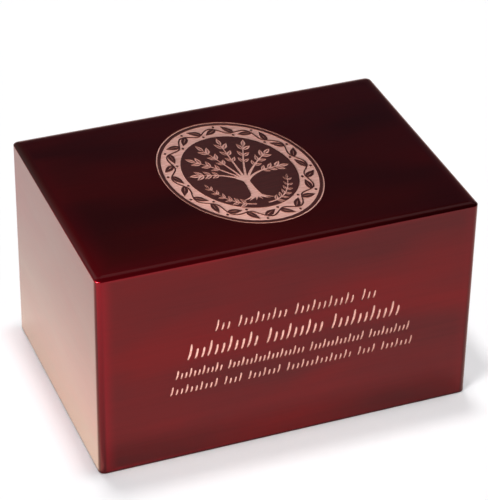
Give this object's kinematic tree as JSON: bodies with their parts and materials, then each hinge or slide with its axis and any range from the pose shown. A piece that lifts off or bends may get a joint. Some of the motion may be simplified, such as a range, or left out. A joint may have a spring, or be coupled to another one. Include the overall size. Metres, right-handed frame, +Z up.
{
  "type": "cremation urn box",
  "caption": "Lacquered wooden memorial urn box with an engraved oval medallion on top, engraved rows on the front and a screwed bottom panel.",
  "frame": {"origin": "middle of the base, on the surface the box stands on", "axes": "+X along the front towards its right end, -Y out of the engraved front, +Z up"},
  "size_m": [0.2414, 0.165, 0.1397],
  "materials": {
    "lacquered_case": "gloss lacquer",
    "engraving": "bare laser-etched wood, matt",
    "panel": "satin stain",
    "screws": "brushed"
  },
  "bodies": {
    "root": {"urn_case": "lacquered_case", "bottom_panel": "panel", "panel_screw_front_left": "screws", "panel_screw_front_right": "screws", "panel_screw_back_left": "screws", "panel_screw_back_right": "screws"}
  },
  "joints": []
}
